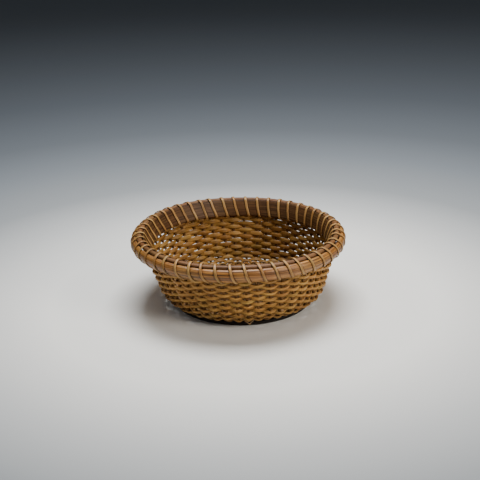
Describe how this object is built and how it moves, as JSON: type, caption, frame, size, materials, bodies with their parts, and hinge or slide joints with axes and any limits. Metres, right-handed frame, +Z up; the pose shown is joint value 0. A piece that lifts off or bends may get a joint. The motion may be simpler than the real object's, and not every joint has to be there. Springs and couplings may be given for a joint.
{
  "type": "bread basket",
  "caption": "Round flared bread basket, plain-woven in split cane, with a thick lashed band rim and a flat foot hoop.",
  "frame": {"origin": "centre of the foot hoop's flat underside, where the basket rests", "axes": "+Z up out of the open mouth; the basket is round, and +X and +Y run along its two crossing layers of base rods"},
  "size_m": [0.2412, 0.2412, 0.0834],
  "materials": {
    "stakes": "dry matt cane, dark brown",
    "base_weave": "satin split cane, tan",
    "wall_weave": "satin split cane, golden tan",
    "outer_band": "satin split cane with fine lengthwise grain, mid brown",
    "inner_band": "satin split cane, dark brown",
    "ridge_cane": "satin round cane, mid brown",
    "lashing": "satin cane strip, light tan",
    "foot": "matt stained wood, very dark brown"
  },
  "bodies": {
    "root": {"stake_rod_01": "stakes", "stake_rod_02": "stakes", "stake_rod_03": "stakes", "stake_rod_04": "stakes", "stake_rod_05": "stakes", "stake_rod_06": "stakes", "stake_rod_07": "stakes", "stake_rod_08": "stakes", "stake_rod_09": "stakes", "stake_rod_10": "stakes", "stake_rod_11": "stakes", "stake_rod_12": "stakes", "stake_rod_13": "stakes", "stake_rod_14": "stakes", "stake_rod_15": "stakes", "stake_rod_16": "stakes", "stake_rod_17": "stakes", "stake_rod_18": "stakes", "stake_rod_19": "stakes", "stake_rod_20": "stakes", "stake_rod_21": "stakes", "stake_rod_22": "stakes", "stake_rod_23": "stakes", "stake_rod_24": "stakes", "base_weaver_01": "base_weave", "base_weaver_02": "base_weave", "base_weaver_03": "base_weave", "base_weaver_04": "base_weave", "base_weaver_05": "base_weave", "base_weaver_06": "base_weave", "wall_weaver_01": "wall_weave", "wall_weaver_02": "wall_weave", "wall_weaver_03": "wall_weave", "wall_weaver_04": "wall_weave", "wall_weaver_05": "wall_weave", "wall_weaver_06": "wall_weave", "wall_weaver_07": "wall_weave", "wall_weaver_08": "wall_weave", "wall_weaver_09": "wall_weave", "wall_weaver_10": "wall_weave", "wall_weaver_11": "wall_weave", "wall_weaver_12": "wall_weave", "wall_weaver_13": "wall_weave", "wall_weaver_14": "wall_weave", "wall_weaver_15": "wall_weave", "wall_weaver_16": "wall_weave", "wall_weaver_17": "wall_weave", "wall_weaver_18": "wall_weave", "rim_outer_band": "outer_band", "rim_inner_band": "inner_band", "rim_ridge_cane": "ridge_cane", "rim_lashing": "lashing", "foot_hoop": "foot"}
  },
  "joints": []
}
